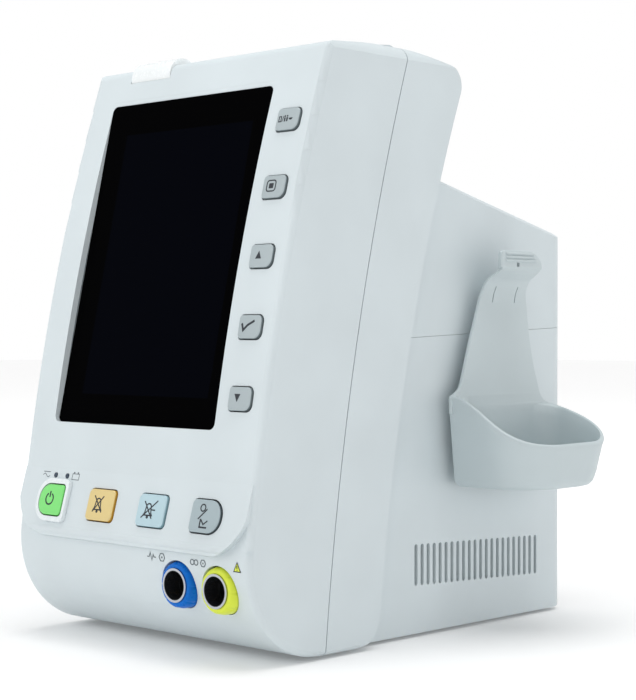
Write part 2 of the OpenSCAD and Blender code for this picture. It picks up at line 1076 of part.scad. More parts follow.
// back plate of the basket seen from the side
module plate_2d() {
    hl = basket_l / 2;
    polygon([[-hl + 5, 0], [hl - 5, 0], [hl - 0.4, 30], [hl - 0.4, 36], [hl - 6.5, 39.5], [hl - 9, 44],
        [hl - 13, 58], [hl - 17.5, 78], [hl - 21, 92.5], [-hl + 21, 92.5], [-hl + 18.5, 78],
        [-hl + 13, 62], [-hl + 8.5, 47], [-hl + 6.5, 43.5], [-hl, 40.5]]);
}

module basket() {
    color("Gainsboro")
        union() {
            difference() {
                translate([plate_x - basket_wall, basket_y, basket_z])
                    linear_extrude(height = 41)
                        cup_2d(0);
                translate([plate_x, basket_y, basket_z + basket_wall])
                    linear_extrude(height = 45)
                        difference() {
                            translate([-basket_wall, 0])
                                cup_2d(basket_wall);
                            translate([-10, -60])
                                square([10, 120]);
                        }
                translate([plate_x, basket_y, basket_z + 41])
                    rotate([0, 26, 0])
                        translate([-0.01, -60, 0])
                            cube([80, 120, 60]);
                translate([plate_x - 10, basket_y - 60, basket_z + 38])
                    cube([10.2, 120, 60]);
            }
            translate([plate_x - basket_wall, basket_y, basket_z])
                rotate([90, 0, 90])
                    linear_extrude(height = basket_wall)
                        plate_2d();
            translate([plate_x - basket_wall, basket_y - 15.6, basket_z + 92])
                cube([tab_x - plate_x + 1, 30.4, 2.4]);
            translate([tab_x - 2.4, basket_y - 15.8, basket_z + 92])
                difference() {
                    cube([2.4, 30.8, 13.8]);
                    translate([-1, 11, 3.4])
                        cube([6, 2, 2.6]);
                }
            for (k = [0:2])
                translate([tab_x, basket_y - 13, basket_z + 101.4 + 1.7 * k])
                    rotate([-90, 0, 0])
                        cylinder(r = 0.6, h = 23, $fn = 16);
            for (s = [-1, 1])
                translate([half_b + 0.4, basket_y + s * 15.4, basket_z + 36]) {
                    translate([0, -1, 0])
                        cube([plate_x - half_b - 1.4, 2, 24]);
                    translate([0, s < 0 ? -1 : -4.4, 0])
                        cube([1.7, 5.4, 24]);
                }
        }
}

module basket_bracket() {
    color("Gainsboro")
        difference() {
            union() {
                translate([half_b, basket_y - 10, basket_z + 34])
                    cube([2.6, 20, 26]);
                translate([half_b + 2.5, basket_y - 14, basket_z + 34])
                    cube([2.4, 28, 26]);
            }
            for (y = rail_screw)
                translate([half_b - 2, y, 111])
                    rotate([0, 90, 0]) {
                        cylinder(r = 1.6, h = 12, $fn = 24);
                        translate([0, 0, 4.2])
                            cylinder(r = 3.2, h = 8, $fn = 32);
                    }
        }
}

module bracket_screws() {
    color("Silver")
        for (y = rail_screw)
            translate([half_b + 2.2, y, 111])
                rotate([0, 90, 0])
                    union() {
                        translate([0, 0, -8])
                            cylinder(r = 1.45, h = 8.2, $fn = 24);
                        cylinder(r = 2.8, h = 1.8, $fn = 32);
                    }
}

front_housing();
band_housing();
lower_cover();
upper_cover();
screen_window();
lcd_panel();
lcd_frame();
alarm_lens();
alarm_board();
key_standby();
key_menu();
key_up();
key_select();
key_down();
side_key_board();
power_surround();
power_key();
alarm_pause_key();
audio_off_key();
record_key();
strip_key_board();
mains_indicator();
battery_indicator();
blue_collar();
blue_socket();
blue_insert();
yellow_collar();
yellow_socket();
yellow_insert();
sensor_board();
gas_module();
chassis_plate();
main_board();
power_supply();
battery_pack();
battery_tray();
battery_door();
speaker();
mains_inlet();
ground_post();
data_port();
rear_screws();
feet();
basket();
basket_bracket();
bracket_screws();
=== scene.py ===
"""Looks of the portable patient monitor: materials, keys, symbols, sockets, basket and light."""

import math

import bmesh
import bpy
from mathutils import Matrix, Vector


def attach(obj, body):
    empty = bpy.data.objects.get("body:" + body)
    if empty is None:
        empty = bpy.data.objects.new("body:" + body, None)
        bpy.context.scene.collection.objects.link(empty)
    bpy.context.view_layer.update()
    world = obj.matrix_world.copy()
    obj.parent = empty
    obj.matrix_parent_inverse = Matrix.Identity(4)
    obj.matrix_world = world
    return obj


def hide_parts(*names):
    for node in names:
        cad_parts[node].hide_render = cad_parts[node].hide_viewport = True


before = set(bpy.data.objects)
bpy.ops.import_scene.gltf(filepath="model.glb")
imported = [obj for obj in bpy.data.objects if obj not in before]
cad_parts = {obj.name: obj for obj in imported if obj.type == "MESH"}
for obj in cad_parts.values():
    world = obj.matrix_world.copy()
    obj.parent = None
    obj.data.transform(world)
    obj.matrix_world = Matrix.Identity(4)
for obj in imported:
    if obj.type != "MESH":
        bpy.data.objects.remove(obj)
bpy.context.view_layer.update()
MM = 0.001

# Driving sizes of the case, in metres, as the CAD model has them.
BOW_R = 1.025
BOW_Y = 0.9084
BOW_Z = -0.0752
CHIN_R = 0.041
CHIN_LEAN = math.radians(6.87)
WINDOW_MIDDLE = (-0.005, -0.0844, 0.1657)
WINDOW_LEAN = 12.7
STRIP_Z = 0.074
STRIP_LEAN = 15.9
STRIP_ROW = -14.3
SIDE_KEY_X = 60.5
SIDE_KEY_LEAN = 10.26
SIDE_KEY_STEP = 1.64
SOCKET_Z = 0.031
SOCKET_X = {"blue": 0.0322, "yellow": 0.0563}
COLLAR_FACE = -0.1104

CHIN_Y = BOW_Y - (BOW_R - CHIN_R) * math.cos(CHIN_LEAN)
CHIN_Z = BOW_Z + (BOW_R - CHIN_R) * math.sin(CHIN_LEAN)
STRIP_Y = BOW_Y - math.sqrt(BOW_R**2 - (STRIP_Z - BOW_Z) ** 2)

# Visible picture area of the panel, from the middle of its window, in metres.
PICTURE_MIDDLE = (0.0022, -0.0007)
PICTURE_HALF = (0.04075, 0.0595)


# ---------------------------------------------------------------- frames on the object

def tilted(origin, lean):
    """Matrix of a frame on a leaning face: x sideways, y up the face, z straight out, in metres."""
    return Matrix.Translation(Vector(origin)) @ Matrix.Rotation(math.radians(90 - lean), 4, "X")


def on_bow(x, lean):
    """Frame on the bowed face at a sideways place in millimetres and a lean in degrees."""
    a = math.radians(lean)
    return tilted((x * MM, BOW_Y - BOW_R * math.cos(a), BOW_Z + BOW_R * math.sin(a)), lean)


def on_strip(x, s):
    """Frame on the control strip, x sideways and s up its slope from the crease, in millimetres."""
    crease = tilted((0, STRIP_Y, STRIP_Z), STRIP_LEAN)
    return crease @ Matrix.Translation(Vector((x * MM, s * MM, 0)))


def flat_map(matrix, height=0.0):
    """Turns millimetres on a face, and a height above it, into a point of the row frame."""
    return lambda u, v, h: matrix @ Vector((u * MM, v * MM, (h + height) * MM))


def chin_map(x, z):
    """The same on the curved front below the control strip, around a point given in millimetres."""
    def place(u, v, h):
        height = (z + v) * MM
        start = CHIN_Z + CHIN_R * math.sin(CHIN_LEAN)
        if height > start:
            middle, radius = Vector((0, BOW_Y, BOW_Z)), BOW_R
        else:
            middle, radius = Vector((0, CHIN_Y, CHIN_Z)), CHIN_R
        lean = math.asin((height - middle.z) / radius)
        out = Vector((0, -math.cos(lean), math.sin(lean)))
        return Vector(((x + u) * MM, 0, 0)) + middle + out * (radius + h * MM)
    return place


# ---------------------------------------------------------------- mesh helpers

def link_object(name, data):
    """Puts an object that holds the given data into the scene."""
    thing = bpy.data.objects.new(name, data)
    bpy.context.scene.collection.objects.link(thing)
    return thing


def solid_mesh(name, shape):
    """Mesh of a shape, its double points welded and its faces turned outward."""
    mesh = bpy.data.meshes.new(name)
    mesh.from_pydata([tuple(v) for v in shape.verts], [], shape.faces)
    work = bmesh.new()
    work.from_mesh(mesh)
    bmesh.ops.remove_doubles(work, verts=work.verts, dist=1e-7)
    bmesh.ops.recalc_face_normals(work, faces=work.faces)
    work.to_mesh(mesh)
    work.free()
    return mesh


def add_piece(name, shape, slot, body, stands_for=(), sharp=38, material=None):
    """Makes a piece of the object, smooth except across corners sharper than the given angle.

    Its material is the one named after its slot, unless another is given.
    """
    mesh = solid_mesh(name, shape)
    mesh.polygons.foreach_set("use_smooth", [True] * len(mesh.polygons))
    mesh.set_sharp_from_angle(angle=math.radians(sharp))
    mesh.materials.append(MATERIALS[material or slot])
    piece = link_object(name, mesh)
    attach(piece, body)
    if stands_for:
        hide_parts(*stands_for)
    return piece


# Printed marks start this far below the surface, in millimetres.
INK_ROOT = -0.03


class Shape:
    """Collects the points and faces of one piece; weight thickens its printed lines."""

    def __init__(self, weight=1.0):
        self.verts = []
        self.faces = []
        self.weight = weight

    def loft(self, rings, capped=True):
        """Joins rings of equal length one after another, with flat ends unless told otherwise."""
        first = len(self.verts)
        count = len(rings[0])
        for ring in rings:
            self.verts += ring
        for r in range(len(rings) - 1):
            for k in range(count):
                a = first + r * count + k
                b = first + r * count + (k + 1) % count
                self.faces.append((a, b, b + count, a + count))
        if capped:
            self.faces.append(tuple(first + k for k in reversed(range(count))))
            last = first + (len(rings) - 1) * count
            self.faces.append(tuple(last + k for k in range(count)))

    def tube(self, rings):
        """A closed ring of cross-sections, such as a collar turned about an axis."""
        self.loft(rings + [rings[0]], capped=False)

    def print_fill(self, outline, place, thick=0.05):
        """A flat printed area with the given outline in millimetres."""
        low = [place(u, v, INK_ROOT) for u, v in outline]
        high = [place(u, v, thick) for u, v in outline]
        self.loft([low, high])

    def print_line(self, points, width, place, closed=False, thick=0.05):
        """A printed line of even width through points in millimetres."""
        left, right = [], []
        count = len(points)
        for k, here in enumerate(points):
            before = points[k - 1] if k > 0 or closed else None
            after = points[(k + 1) % count] if k < count - 1 or closed else None
            side = miter(before, here, after, width * self.weight / 2)
            left.append((here[0] + side[0], here[1] + side[1]))
            right.append((here[0] - side[0], here[1] - side[1]))
        rings = []
        for a, b in zip(left, right):
            rings.append([place(*a, INK_ROOT), place(*b, INK_ROOT),
                          place(*b, thick), place(*a, thick)])
        if closed:
            self.tube(rings)
        else:
            self.loft(rings)


def miter(before, here, after, half):
    """Sideways offset of a line's edge at a point, sharpened where the line turns."""
    normals = []
    for a, b in ((before, here), (here, after)):
        if a is not None and b is not None:
            dx, dy = b[0] - a[0], b[1] - a[1]
            size = math.hypot(dx, dy)
            normals.append((-dy / size, dx / size))
    nx = sum(n[0] for n in normals)
    ny = sum(n[1] for n in normals)
    size = math.hypot(nx, ny)
    nx, ny = nx / size, ny / size
    stretch = min(2.0, 1 / max(0.3, nx * normals[0][0] + ny * normals[0][1]))
    return nx * half * stretch, ny * half * stretch


def arc(cx, cy, r, start, end, steps=12):
    """Points of an arc in degrees, anticlockwise from start to end."""
    angles = [math.radians(start + (end - start) * k / steps) for k in range(steps + 1)]
    return [(cx + r * math.cos(a), cy + r * math.sin(a)) for a in angles]


def circle(cx, cy, r, steps=20):
    """Points of a full circle, the first one not repeated."""
    return arc(cx, cy, r, 0, 360, steps)[:-1]


def rounded(width, height, radii, inset=0.0):
    """Rounded rectangle around the origin; radii start at the top right and go anticlockwise."""
    points = []
    corners = ((1, 1, 0), (-1, 1, 90), (-1, -1, 180), (1, -1, 270))
    for (sx, sy, start), radius in zip(corners, radii):
        r = max(0.05, radius - inset)
        cx = sx * (width / 2 - inset - r)
        cy = sy * (height / 2 - inset - r)
        points += arc(cx, cy, r, start, start + 90, 7)
    return points


# ---------------------------------------------------------------- materials

def node_material(name):
    """New material with its node tree and its surface shader."""
    material = bpy.data.materials.new(name)
    material.use_nodes = True
    tree = material.node_tree
    return material, tree, tree.nodes["Principled BSDF"]


def add(tree, kind, **inputs):
    """Adds a shader node and sets its sockets by name, with spaces written as underscores."""
    node = tree.nodes.new(kind)
    for key, value in inputs.items():
        node.inputs[key.replace("_", " ")].default_value = value
    return node


def object_place(tree):
    """Coordinates that stay with the object, in metres."""
    return tree.nodes.new("ShaderNodeTexCoord").outputs["Object"]


def noise(tree, place, scale, detail, stretch=None):
    """Noise texture over the object's own coordinates, in features per metre."""
    texture = add(tree, "ShaderNodeTexNoise", Scale=scale, Detail=detail)
    if stretch is not None:
        mapping = add(tree, "ShaderNodeMapping", Scale=stretch)
        tree.links.new(place, mapping.inputs["Vector"])
        place = mapping.outputs["Vector"]
    tree.links.new(place, texture.inputs["Vector"])
    return texture.outputs["Fac"]


def ramp(tree, factor, low, high, start=0.3, end=0.7):
    """Colour between two tones, following a factor."""
    node = tree.nodes.new("ShaderNodeValToRGB")
    node.color_ramp.elements[0].position = start
    node.color_ramp.elements[1].position = end
    node.color_ramp.elements[0].color = (*low, 1)
    node.color_ramp.elements[1].color = (*high, 1)
    tree.links.new(factor, node.inputs["Fac"])
    return node.outputs["Color"]


def map_range(tree, value, start, end, low=0.0, high=1.0):
    """Number that goes from low to high while a value goes from start to end."""
    node = add(tree, "ShaderNodeMapRange", From_Min=start, From_Max=end, To_Min=low, To_Max=high)
    tree.links.new(value, node.inputs["Value"])
    return node.outputs["Result"]


def span(tree, factor, low, high):
    """Number between two limits, following a noise, whose values crowd around its middle."""
    return map_range(tree, factor, 0.3, 0.7, low, high)


def bump(tree, shader, height, strength, depth):
    """Relief on a surface that follows a height, over a depth in metres."""
    node = add(tree, "ShaderNodeBump", Strength=strength, Distance=depth)
    tree.links.new(height, node.inputs["Height"])
    tree.links.new(node.outputs["Normal"], shader.inputs["Normal"])


def tone(colour, factor):
    """The same colour, lighter or darker."""
    return tuple(min(1.0, c * factor) for c in colour)


def moulded(name, colour, roughness=0.45, grain=2600, strength=0.25, spread=0.025, specular=0.4):
    """Injection-moulded plastic: faint colour drift, spark-eroded grain and uneven gloss."""
    material, tree, shader = node_material(name)
    place = object_place(tree)
    drift = noise(tree, place, 28, 2)
    grains = noise(tree, place, grain, 4)
    shade = ramp(tree, drift, tone(colour, 1 - spread), tone(colour, 1 + spread))
    tree.links.new(shade, shader.inputs["Base Color"])
    gloss = span(tree, noise(tree, place, 340, 3), roughness - 0.05, roughness + 0.06)
    tree.links.new(gloss, shader.inputs["Roughness"])
    bump(tree, shader, grains, strength, 0.00004)
    shader.inputs["Specular IOR Level"].default_value = specular
    return material


def brushed(name, colour, roughness, stretch):
    """Metal sheet or turned metal with fine lines along one direction."""
    material, tree, shader = node_material(name)
    place = object_place(tree)
    lines = noise(tree, place, 60, 4, stretch)
    shade = ramp(tree, lines, tone(colour, 0.88), tone(colour, 1.06))
    tree.links.new(shade, shader.inputs["Base Color"])
    tree.links.new(span(tree, lines, roughness - 0.06, roughness + 0.1), shader.inputs["Roughness"])
    bump(tree, shader, lines, 0.15, 0.00002)
    shader.inputs["Metallic"].default_value = 1.0
    return material


def circuit_board(name):
    """Solder resist with paler copper tracks under it."""
    material, tree, shader = node_material(name)
    place = object_place(tree)
    tracks = tree.nodes.new("ShaderNodeTexVoronoi")
    tracks.distance = "MANHATTAN"
    tracks.feature = "F1"
    tracks.inputs["Scale"].default_value = 260
    tree.links.new(place, tracks.inputs["Vector"])
    shade = ramp(tree, tracks.outputs["Distance"],
                 (0.012, 0.11, 0.045), (0.03, 0.2, 0.09), 0.42, 0.5)
    tree.links.new(shade, shader.inputs["Base Color"])
    tree.links.new(span(tree, noise(tree, place, 500, 2), 0.22, 0.4), shader.inputs["Roughness"])
    bump(tree, shader, tracks.outputs["Distance"], 0.2, 0.00003)
    return material


def window_glass(name):
    """Black printed window with the faintly bluish switched-off picture area behind it."""
    material, tree, shader = node_material(name)
    place = object_place(tree)
    mapping = add(tree, "ShaderNodeMapping")
    mapping.vector_type = "TEXTURE"
    mapping.inputs["Location"].default_value = WINDOW_MIDDLE
    mapping.inputs["Rotation"].default_value = (math.radians(90 - WINDOW_LEAN), 0, 0)
    tree.links.new(place, mapping.inputs["Vector"])
    parts = tree.nodes.new("ShaderNodeSeparateXYZ")
    tree.links.new(mapping.outputs["Vector"], parts.inputs["Vector"])
    inside = add(tree, "ShaderNodeMath")
    inside.operation = "MULTIPLY"
    for k, axis in enumerate("XY"):
        near = add(tree, "ShaderNodeMath")
        near.operation = "COMPARE"
        near.inputs[1].default_value = PICTURE_MIDDLE[k]
        near.inputs[2].default_value = PICTURE_HALF[k]
        tree.links.new(parts.outputs[axis], near.inputs[0])
        tree.links.new(near.outputs["Value"], inside.inputs[k])
    shade = ramp(tree, inside.outputs["Value"],
                 (0.0012, 0.0012, 0.0014), (0.0016, 0.0019, 0.0034), 0.4, 0.6)
    tree.links.new(shade, shader.inputs["Base Color"])
    smears = noise(tree, place, 24, 4)
    tree.links.new(span(tree, smears, 0.1, 0.16), shader.inputs["Roughness"])
    shader.inputs["Specular IOR Level"].default_value = 0.02
    shader.inputs["IOR"].default_value = 1.12
    return material


def milky(name, colour):
    """Translucent lens: soft gloss with light spreading inside it."""
    material, tree, shader = node_material(name)
    place = object_place(tree)
    shade = ramp(tree, noise(tree, place, 60, 2), tone(colour, 0.97), tone(colour, 1.02))
    tree.links.new(shade, shader.inputs["Base Color"])
    tree.links.new(span(tree, noise(tree, place, 900, 2), 0.2, 0.3), shader.inputs["Roughness"])
    shader.inputs["Subsurface Weight"].default_value = 0.35
    shader.inputs["Subsurface Radius"].default_value = (0.004,) * 3
    shader.inputs["Subsurface Scale"].default_value = 1.0
    return material


def socket_metal(name, axis_x):
    """Plated front ring around a black bore, told apart by the distance from the socket's axis."""
    material, tree, shader = node_material(name)
    place = object_place(tree)
    flat = add(tree, "ShaderNodeVectorMath")
    flat.operation = "MULTIPLY"
    flat.inputs[1].default_value = (1, 0, 1)
    tree.links.new(place, flat.inputs[0])
    reach = add(tree, "ShaderNodeVectorMath")
    reach.operation = "DISTANCE"
    reach.inputs[1].default_value = (axis_x, 0, SOCKET_Z)
    tree.links.new(flat.outputs["Vector"], reach.inputs[0])
    plated = map_range(tree, reach.outputs["Value"], 0.00602, 0.00612)
    shade = ramp(tree, plated, (0.014, 0.015, 0.017), (0.46, 0.48, 0.52), 0.0, 1.0)
    tree.links.new(shade, shader.inputs["Base Color"])
    tree.links.new(plated, shader.inputs["Metallic"])
    tree.links.new(span(tree, noise(tree, place, 900, 2), 0.14, 0.26), shader.inputs["Roughness"])
    return material


def key_plastics(colour, face, rim, roughness=0.36):
    """Materials of a key's face and of its sides, by name; the sides' material is a darker tone of
    the face's plastic, painted shade that stands in for the dark gap around the key.
    """
    return {
        colour: moulded(colour, face, roughness, 2000, 0.12, 0.03, 0.5),
        f"{colour}_rim": moulded(f"{colour}_rim", rim, 0.34, 2000, 0.12, 0.03, 0.5),
    }


MATERIALS = {
    "shell_white": moulded("shell_white", (0.625, 0.69, 0.715), 0.46),
    "basket_grey": moulded("basket_grey", (0.53, 0.60, 0.62), 0.42),
    "screen_black": window_glass("screen_black"),
    "lcd_dark": moulded("lcd_dark", (0.02, 0.024, 0.035), 0.2, 1800, 0.05),
    "steel_sheet": brushed("steel_sheet", (0.6, 0.61, 0.62), 0.36, (1, 50, 50)),
    "lens_clear": milky("lens_clear", (0.86, 0.9, 0.91)),
    "board_green": circuit_board("board_green"),
    # The second colour of each key, its rim colour, is a darker tone of the first: painted shade
    # for the key's sides.
    **key_plastics("key_grey", (0.38, 0.44, 0.46), (0.13, 0.16, 0.17)),
    **key_plastics("key_slate", (0.36, 0.44, 0.47), (0.06, 0.08, 0.09)),
    **key_plastics("key_green", (0.20, 0.72, 0.18), (0.05, 0.42, 0.04), 0.34),
    **key_plastics("key_amber", (0.70, 0.55, 0.235), (0.52, 0.27, 0.02)),
    **key_plastics("key_blue", (0.44, 0.60, 0.66), (0.22, 0.36, 0.41)),
    "surround_white": moulded("surround_white", (0.76, 0.81, 0.83), 0.28, 2000, 0.08),
    "indicator_dark": moulded("indicator_dark", (0.035, 0.055, 0.085), 0.2, 1500, 0.05),
    "collar_blue": moulded("collar_blue", (0.003, 0.14, 0.56), 0.3, 1800, 0.1, 0.05, 0.12),
    "collar_yellow": moulded("collar_yellow", (0.70, 0.80, 0.06), 0.32, 1800, 0.1, 0.04, 0.3),
    "blue_ring": socket_metal("blue_ring", SOCKET_X["blue"]),
    "yellow_ring": socket_metal("yellow_ring", SOCKET_X["yellow"]),
    "insert_black": moulded("insert_black", (0.012, 0.012, 0.014), 0.5, 1500, 0.1),
    "module_grey": brushed("module_grey", (0.52, 0.53, 0.55), 0.42, (20, 20, 20)),
    "battery_wrap": moulded("battery_wrap", (0.03, 0.05, 0.11), 0.24, 700, 0.2),
    "tray_grey": moulded("tray_grey", (0.26, 0.28, 0.3), 0.5),
    "speaker_black": moulded("speaker_black", (0.02, 0.02, 0.022), 0.6, 1400, 0.4),
    "inlet_black": moulded("inlet_black", (0.016, 0.016, 0.018), 0.42, 2200, 0.25),
    "post_metal": brushed("post_metal", (0.7, 0.7, 0.68), 0.24, (40, 2, 40)),
    "foot_rubber": moulded("foot_rubber", (0.035, 0.036, 0.038), 0.7, 1500, 0.5, 0.08, 0.2),
    "ink": moulded("ink", (0.018, 0.022, 0.03), 0.5, 1500, 0.1),
    "ink_grey": moulded("ink_grey", (0.11, 0.135, 0.15), 0.5, 1500, 0.1),
    "gilt": brushed("gilt", (0.83, 0.55, 0.2), 0.3, (30, 2, 30)),
}

NODE_MATERIALS = {
    "shell_white": ("front_housing", "band_housing", "lower_cover", "upper_cover", "battery_door"),
    "basket_grey": ("basket", "basket_bracket"),
    "screen_black": ("screen_window",),
    "lcd_dark": ("lcd_panel",),
    "steel_sheet": ("lcd_frame", "chassis_plate", "rear_screws", "bracket_screws"),
    "lens_clear": ("alarm_lens",),
    "board_green": ("alarm_board", "side_key_board", "strip_key_board", "sensor_board",
                    "main_board", "power_supply"),
    "key_grey": ("key_standby", "key_menu", "key_up", "key_select", "key_down", "record_key"),
    "surround_white": ("power_surround",),
    "key_green": ("power_key",),
    "key_amber": ("alarm_pause_key",),
    "key_blue": ("audio_off_key",),
    "indicator_dark": ("mains_indicator", "battery_indicator"),
    "collar_blue": ("blue_collar",),
    "collar_yellow": ("yellow_collar",),
    "blue_ring": ("blue_socket",),
    "yellow_ring": ("yellow_socket",),
    "insert_black": ("blue_insert", "yellow_insert"),
    "module_grey": ("gas_module",),
    "battery_wrap": ("battery_pack",),
    "tray_grey": ("battery_tray",),
    "speaker_black": ("speaker",),
    "inlet_black": ("mains_inlet", "data_port"),
    "post_metal": ("ground_post",),
    "foot_rubber": ("feet",),
}


def dress_cad_nodes():
    """Gives every CAD node its procedural material."""
    for slot, names in NODE_MATERIALS.items():
        for name in names:
            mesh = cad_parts[name].data
            mesh.materials.clear()
            mesh.materials.append(MATERIALS[slot])


# ---------------------------------------------------------------- keys and their symbols

# Sizes of the keys in millimetres. Each stands in a wall and is proud of its outside.
KEY_BEVEL = 0.75
KEY_FLANGE = 1.2
KEY_FLANGE_DEPTHS = (2.6, 1.6)
KEY_POST_R = 1.6
KEY_POST_DEPTHS = (3.8, 2.5)
SIDE_SIZE = (12.85, 9.75)
SIDE_RADII = (2.6, 1.5, 1.8, 3.4)
SIDE_PROUD = 1.2
SIDE_WALL = 3
STRIP_X = -48.3
STRIP_STEP = 32.9
STRIP_WALL = 6
# Faces that turn further away from the front of a key than this cosine get its rim colour, a darker
# tone painted on as shade.
SHADED_RIM_FACING = 0.4


def key_cap(node, matrix, size, radii, proud, wall, slot):
    """Moulded key with a rounded top edge, a retaining flange and a press post behind it."""
    place = flat_map(matrix)
    flange_back, flange_front = (-wall - depth for depth in KEY_FLANGE_DEPTHS)
    levels = [(flange_back, -KEY_FLANGE), (flange_front, -KEY_FLANGE), (flange_front, 0.0),
              (proud - KEY_BEVEL, 0.0)]
    for k in range(1, 7):
        a = math.radians(90 * k / 6)
        levels.append((proud - KEY_BEVEL + KEY_BEVEL * math.sin(a), KEY_BEVEL * (1 - math.cos(a))))
    rings = []
    for z, inset in levels:
        outline = rounded(*size, radii, inset)
        rings.append([place(u, v, z) for u, v in outline])
    shape = Shape()
    shape.loft(rings)
    shape.loft([[place(u, v, -wall - depth) for u, v in circle(0, 0, KEY_POST_R)]
                for depth in KEY_POST_DEPTHS])
    cap = add_piece(f"{node}_cap", shape, slot, node, (node,))
    # The key's sides and the outer part of its rounded edge take the rim material: painted shade
    # for the gap around the key.
    cap.data.materials.append(MATERIALS[f"{slot}_rim"])
    out = place(0, 0, 1) - place(0, 0, 0)
    out.normalize()
    for face in cap.data.polygons:
        if face.normal.dot(out) < SHADED_RIM_FACING:
            face.material_index = 1


def symbol(name, body, place, draw, ink="ink", weight=1.0):
    """One printed symbol; draw gets the shape to fill and the mapping onto the surface."""
    shape = Shape(weight)
    draw(shape, place)
    add_piece(name, shape, "insert_black", body, material=ink)


def draw_up(shape, place):
    shape.print_fill([(-2.9, -1.2), (0.5, -1.2), (-1.2, 2.1)], place)


def draw_down(shape, place):
    shape.print_fill([(-2.9, 1.9), (-1.2, -1.4), (0.5, 1.9)], place)


def draw_check(shape, place):
    shape.print_line([(-4.3, 1.3), (-3.2, -1.5), (-1.0, 0.6), (2.7, 2.4)], 0.75, place)


def draw_menu(shape, place):
    ring = [(x - 1.3, y + 0.3) for x, y in rounded(5.0, 4.6, (1.2,) * 4)]
    shape.print_line(ring, 0.42, place, closed=True)
    shape.print_fill([(x - 1.3, y + 0.3) for x, y in rounded(2.5, 2.2, (0.3,) * 4)], place)


def draw_standby(shape, place):
    box = [(-4.7, -1.1), (-3.5, -1.1), (-3.5, 1.1), (-4.7, 1.1)]
    shape.print_line(box, 0.35, place, closed=True)
    shape.print_line([(-2.9, -1.2), (-2.2, 1.4)], 0.3, place)
    for x in (-1.4, -0.1):
        shape.print_fill(circle(x, 1.2, 0.42, 12), place)
        bar = [(x - 0.38, -1.2), (x + 0.38, -1.2), (x + 0.45, 0.6), (x - 0.45, 0.6)]
        shape.print_fill(bar, place)
    shape.print_fill(arc(1.9, 0.5, 1.15, 190, 350, 10), place)


def draw_power(shape, place):
    shape.print_line(arc(-0.6, 0.2, 2.5, 118, 422, 28), 0.55, place)
    shape.print_line([(-0.6, 0.9), (-0.6, 3.6)], 0.6, place)


def draw_bell(shape, place, dx):
    """Outline of a bell with its clapper, shared by the two alarm keys."""
    left = [(-2.6, -2.2), (-1.9, -1.2), (-1.5, 1.2)]
    right = [(-x, y) for x, y in reversed(left)]
    outline = [(x + dx, y) for x, y in left + arc(0, 1.2, 1.5, 150, 30, 8) + right]
    shape.print_line(outline, 0.45, place, closed=True)
    shape.print_fill(circle(dx, -2.9, 0.7, 12), place)


def draw_alarm_pause(shape, place):
    draw_bell(shape, place, -1.2)
    shape.print_line([(-4.2, -3.2), (1.8, 3.8)], 0.42, place, thick=0.06)
    shape.print_line([(-4.2, 3.8), (1.8, -3.2)], 0.42, place, thick=0.07)


def draw_audio_off(shape, place):
    draw_bell(shape, place, -1.4)
    shape.print_line([(-5.2, -3.4), (3.6, 4.2)], 0.42, place, thick=0.06)
    shape.print_line([(-4.4, 3.6), (1.4, -3.4)], 0.42, place, thick=0.07)
    shape.print_line([(0.4, 0.2), (2.8, 0.2)], 0.4, place, thick=0.065)


def draw_record(shape, place):
    shape.print_line(circle(-1.7, 3.3, 1.4), 0.42, place, closed=True)
    shape.print_line([(-3.6, -1.4), (0.9, 2.9)], 0.42, place, thick=0.06)
    shape.print_line([(-2.0, -1.2), (-2.0, -4.6), (2.2, -4.6)], 0.5, place, thick=0.065)
    shape.print_line([(-1.6, -1.6), (0.0, -3.4), (2.2, -1.8)], 0.42, place, thick=0.07)


# Keys beside the screen, from the lowest up: node and symbol.
SIDE_KEYS = (
    ("key_down", draw_down),
    ("key_select", draw_check),
    ("key_up", draw_up),
    ("key_menu", draw_menu),
    ("key_standby", draw_standby),
)
# Keys on the strip, from the left: node, colour, size, corner radii, height and symbol.
STRIP_KEYS = (
    ("power_key", "key_green", (16.0, 13.6), (1.5, 6.3, 5.6, 1.9), 2.2, draw_power),
    ("alarm_pause_key", "key_amber", (17.2, 13.6), (2.0, 2.4, 2.0, 2.4), 1.2, draw_alarm_pause),
    ("audio_off_key", "key_blue", (17.2, 13.6), (2.0, 2.4, 2.0, 2.4), 1.2, draw_audio_off),
    ("record_key", "key_slate", (17.2, 13.6), (6.4, 2.2, 2.0, 6.2), 1.2, draw_record),
)


def make_keys():
    for k, (node, draw) in enumerate(SIDE_KEYS):
        matrix = on_bow(SIDE_KEY_X, SIDE_KEY_LEAN + SIDE_KEY_STEP * k)
        key_cap(node, matrix, SIDE_SIZE, SIDE_RADII, SIDE_PROUD, SIDE_WALL, "key_grey")
        symbol(f"{node}_symbol", node, flat_map(matrix, SIDE_PROUD), draw, "ink", 1.3)
    for k, (node, slot, size, radii, proud, draw) in enumerate(STRIP_KEYS):
        matrix = on_strip(STRIP_X + STRIP_STEP * k, STRIP_ROW)
        key_cap(node, matrix, size, radii, proud, STRIP_WALL, slot)
        symbol(f"{node}_symbol", node, flat_map(matrix, proud), draw, "ink", 1.35)


# ---------------------------------------------------------------- printed marks on the case

def draw_mains(shape, place):
    shape.print_line([(-2.4, 1.1), (2.4, 1.1)], 0.3, place)
    wave = [(-2.4 + 0.3 * k, -0.5 + 0.75 * math.sin(math.pi * k / 8)) for k in range(17)]
    shape.print_line(wave, 0.3, place)


def draw_battery(shape, place):
    case = [(-2.3, -1.5), (2.3, -1.5), (2.3, 1.1), (-2.3, 1.1)]
    shape.print_line(case, 0.3, place, closed=True)
    for x in (-1.3, 1.3):
        pole = [(x - 0.45, 1.3), (x + 0.45, 1.3), (x + 0.45, 1.9), (x - 0.45, 1.9)]
        shape.print_fill(pole, place)


